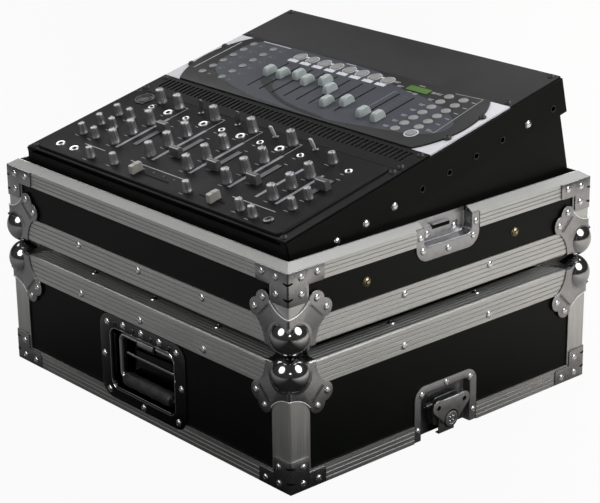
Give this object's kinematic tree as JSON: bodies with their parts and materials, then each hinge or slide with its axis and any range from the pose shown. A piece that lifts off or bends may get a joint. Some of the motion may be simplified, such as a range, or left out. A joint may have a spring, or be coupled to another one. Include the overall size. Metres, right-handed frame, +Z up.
{
  "type": "mixer flight case",
  "caption": "Black flight case for sloped rack gear, standing on its lift-off lid, with ball corners, butterfly latches, sprung handle, mixer and lighting controller.",
  "frame": {"origin": "on the floor under the middle of the case", "axes": "+X towards the right-hand latch, -Y towards the front and its handle, +Z up"},
  "size_m": [0.5486, 0.5022, 0.387],
  "materials": {
    "laminate": "black laminate on plywood",
    "aluminium": "extruded, satin, fine grooves",
    "chrome": "bright",
    "black_chrome": "bright black",
    "zinc_steel": "zinc plated, satin",
    "black_steel": "black powder coat",
    "black_plywood": "black stain",
    "panel_black": "fine black texture",
    "panel_grey": "satin with printed areas",
    "rubber": "smooth",
    "slider_grey": "satin",
    "fader_grey": "satin"
  },
  "bodies": {
    "lid": {"lid_shell": "laminate", "lid_edging": "aluminium", "lid_rim_front": "aluminium", "lid_rim_back": "aluminium", "lid_ball_corner_front_left": "chrome", "lid_ball_corner_front_right": "chrome", "lid_ball_corner_back_left": "chrome", "lid_ball_corner_back_right": "chrome", "lid_brace_front_left": "chrome", "lid_brace_front_right": "chrome", "lid_brace_back_left": "chrome", "lid_brace_back_right": "chrome", "handle_dish": "black_chrome", "latch_dish_left": "zinc_steel", "latch_dish_right": "zinc_steel"},
    "base": {"base_tray": "laminate", "base_edging": "aluminium", "base_rim_front": "aluminium", "base_rim_back": "aluminium", "base_ball_corner_front_left": "chrome", "base_ball_corner_front_right": "chrome", "base_ball_corner_back_left": "chrome", "base_ball_corner_back_right": "chrome", "base_brace_front_left": "chrome", "base_brace_front_right": "chrome", "base_brace_back_left": "chrome", "base_brace_back_right": "chrome", "keeper_dish_left": "zinc_steel", "keeper_dish_right": "zinc_steel", "rack_housing": "black_plywood", "rack_rail_left": "black_steel", "rack_rail_right": "black_steel", "blank_panel": "panel_black", "lighting_controller": "panel_grey", "vent_panel": "panel_black", "mixer": "panel_black"},
    "handle": {"handle_bail": "chrome", "handle_grip": "rubber"},
    "hub_right": {"latch_hub_right": "zinc_steel"},
    "claw_right": {"latch_claw_right": "zinc_steel"},
    "wing_right": {"latch_wing_right": "zinc_steel"},
    "hub_left": {"latch_hub_left": "zinc_steel"},
    "claw_left": {"latch_claw_left": "zinc_steel"},
    "wing_left": {"latch_wing_left": "zinc_steel"},
    "slider_1": {"controller_slider_1": "slider_grey"},
    "slider_2": {"controller_slider_2": "slider_grey"},
    "slider_3": {"controller_slider_3": "slider_grey"},
    "slider_4": {"controller_slider_4": "slider_grey"},
    "slider_5": {"controller_slider_5": "slider_grey"},
    "slider_6": {"controller_slider_6": "slider_grey"},
    "slider_7": {"controller_slider_7": "slider_grey"},
    "slider_8": {"controller_slider_8": "slider_grey"},
    "slider_9": {"controller_slider_9": "slider_grey"},
    "slider_10": {"controller_slider_10": "slider_grey"},
    "fader_1": {"channel_fader_1": "fader_grey"},
    "fader_2": {"channel_fader_2": "fader_grey"},
    "fader_3": {"channel_fader_3": "fader_grey"},
    "fader_4": {"channel_fader_4": "fader_grey"},
    "master": {"master_fader": "fader_grey"},
    "crossfader": {"crossfader": "fader_grey"}
  },
  "joints": [
    {"name": "base_lift", "type": "slide", "parent": "lid", "child": "base", "axis": [0, 0, 1], "range_m": [0, 0.2]},
    {"name": "handle_swing", "type": "hinge", "parent": "lid", "child": "handle", "pos_m": [0, -0.2306, 0.0945], "axis": [-1, 0, 0], "range_deg": [0, 95], "stiffness_Nm_per_rad": 0.4},
    {"name": "latch_turn_right", "type": "hinge", "parent": "lid", "child": "hub_right", "pos_m": [0.2645, 0, 0.0195], "axis": [1, 0, 0], "range_deg": [0, 180]},
    {"name": "claw_drop_right", "type": "slide", "parent": "lid", "child": "claw_right", "axis": [0, 0, -1], "range_m": [0, 0.009]},
    {"name": "wing_fold_right", "type": "hinge", "parent": "hub_right", "child": "wing_right", "pos_m": [0.27275, 0, 0.0195], "axis": [0, 1, 0], "range_deg": [0, 90]},
    {"name": "latch_turn_left", "type": "hinge", "parent": "lid", "child": "hub_left", "pos_m": [-0.2645, 0, 0.0195], "axis": [-1, 0, 0], "range_deg": [0, 180]},
    {"name": "claw_drop_left", "type": "slide", "parent": "lid", "child": "claw_left", "axis": [0, 0, -1], "range_m": [0, 0.009]},
    {"name": "wing_fold_left", "type": "hinge", "parent": "hub_left", "child": "wing_left", "pos_m": [-0.27275, 0, 0.0195], "axis": [0, -1, 0], "range_deg": [0, 90]},
    {"name": "controller_slide_1", "type": "slide", "parent": "base", "child": "slider_1", "axis": [0, 0.974, 0.2267], "range_m": [-0.0365, 0.0289]},
    {"name": "controller_slide_2", "type": "slide", "parent": "base", "child": "slider_2", "axis": [0, 0.974, 0.2267], "range_m": [-0.0385, 0.0269]},
    {"name": "controller_slide_3", "type": "slide", "parent": "base", "child": "slider_3", "axis": [0, 0.974, 0.2267], "range_m": [-0.0455, 0.0199]},
    {"name": "controller_slide_4", "type": "slide", "parent": "base", "child": "slider_4", "axis": [0, 0.974, 0.2267], "range_m": [-0.0385, 0.0269]},
    {"name": "controller_slide_5", "type": "slide", "parent": "base", "child": "slider_5", "axis": [0, 0.974, 0.2267], "range_m": [-0.0485, 0.0169]},
    {"name": "controller_slide_6", "type": "slide", "parent": "base", "child": "slider_6", "axis": [0, 0.974, 0.2267], "range_m": [-0.0345, 0.0309]},
    {"name": "controller_slide_7", "type": "slide", "parent": "base", "child": "slider_7", "axis": [0, 0.974, 0.2267], "range_m": [-0.0075, 0.0579]},
    {"name": "controller_slide_8", "type": "slide", "parent": "base", "child": "slider_8", "axis": [0, 0.974, 0.2267], "range_m": [-0.0195, 0.0459]},
    {"name": "controller_slide_9", "type": "slide", "parent": "base", "child": "slider_9", "axis": [0, 0.974, 0.2267], "range_m": [-0.007, 0.0584]},
    {"name": "controller_slide_10", "type": "slide", "parent": "base", "child": "slider_10", "axis": [0, 0.974, 0.2267], "range_m": [-0.007, 0.0584]},
    {"name": "channel_slide_1", "type": "slide", "parent": "base", "child": "fader_1", "axis": [0, 0.974, 0.2267], "range_m": [-0.04, 0.005]},
    {"name": "channel_slide_2", "type": "slide", "parent": "base", "child": "fader_2", "axis": [0, 0.974, 0.2267], "range_m": [-0.0035, 0.0415]},
    {"name": "channel_slide_3", "type": "slide", "parent": "base", "child": "fader_3", "axis": [0, 0.974, 0.2267], "range_m": [-0.0035, 0.0415]},
    {"name": "channel_slide_4", "type": "slide", "parent": "base", "child": "fader_4", "axis": [0, 0.974, 0.2267], "range_m": [-0.0035, 0.0415]},
    {"name": "master_slide", "type": "slide", "parent": "base", "child": "master", "axis": [0, 0.974, 0.2267], "range_m": [-0.0135, 0.0155]},
    {"name": "crossfader_slide", "type": "slide", "parent": "base", "child": "crossfader", "axis": [1, 0, 0], "range_m": [-0.013, 0.058]}
  ],
  "couplings": [
    {"joint": "latch_turn_right", "follows": "claw_drop_right", "rad_per_m": 348.9},
    {"joint": "latch_turn_left", "follows": "claw_drop_left", "rad_per_m": 348.9}
  ]
}
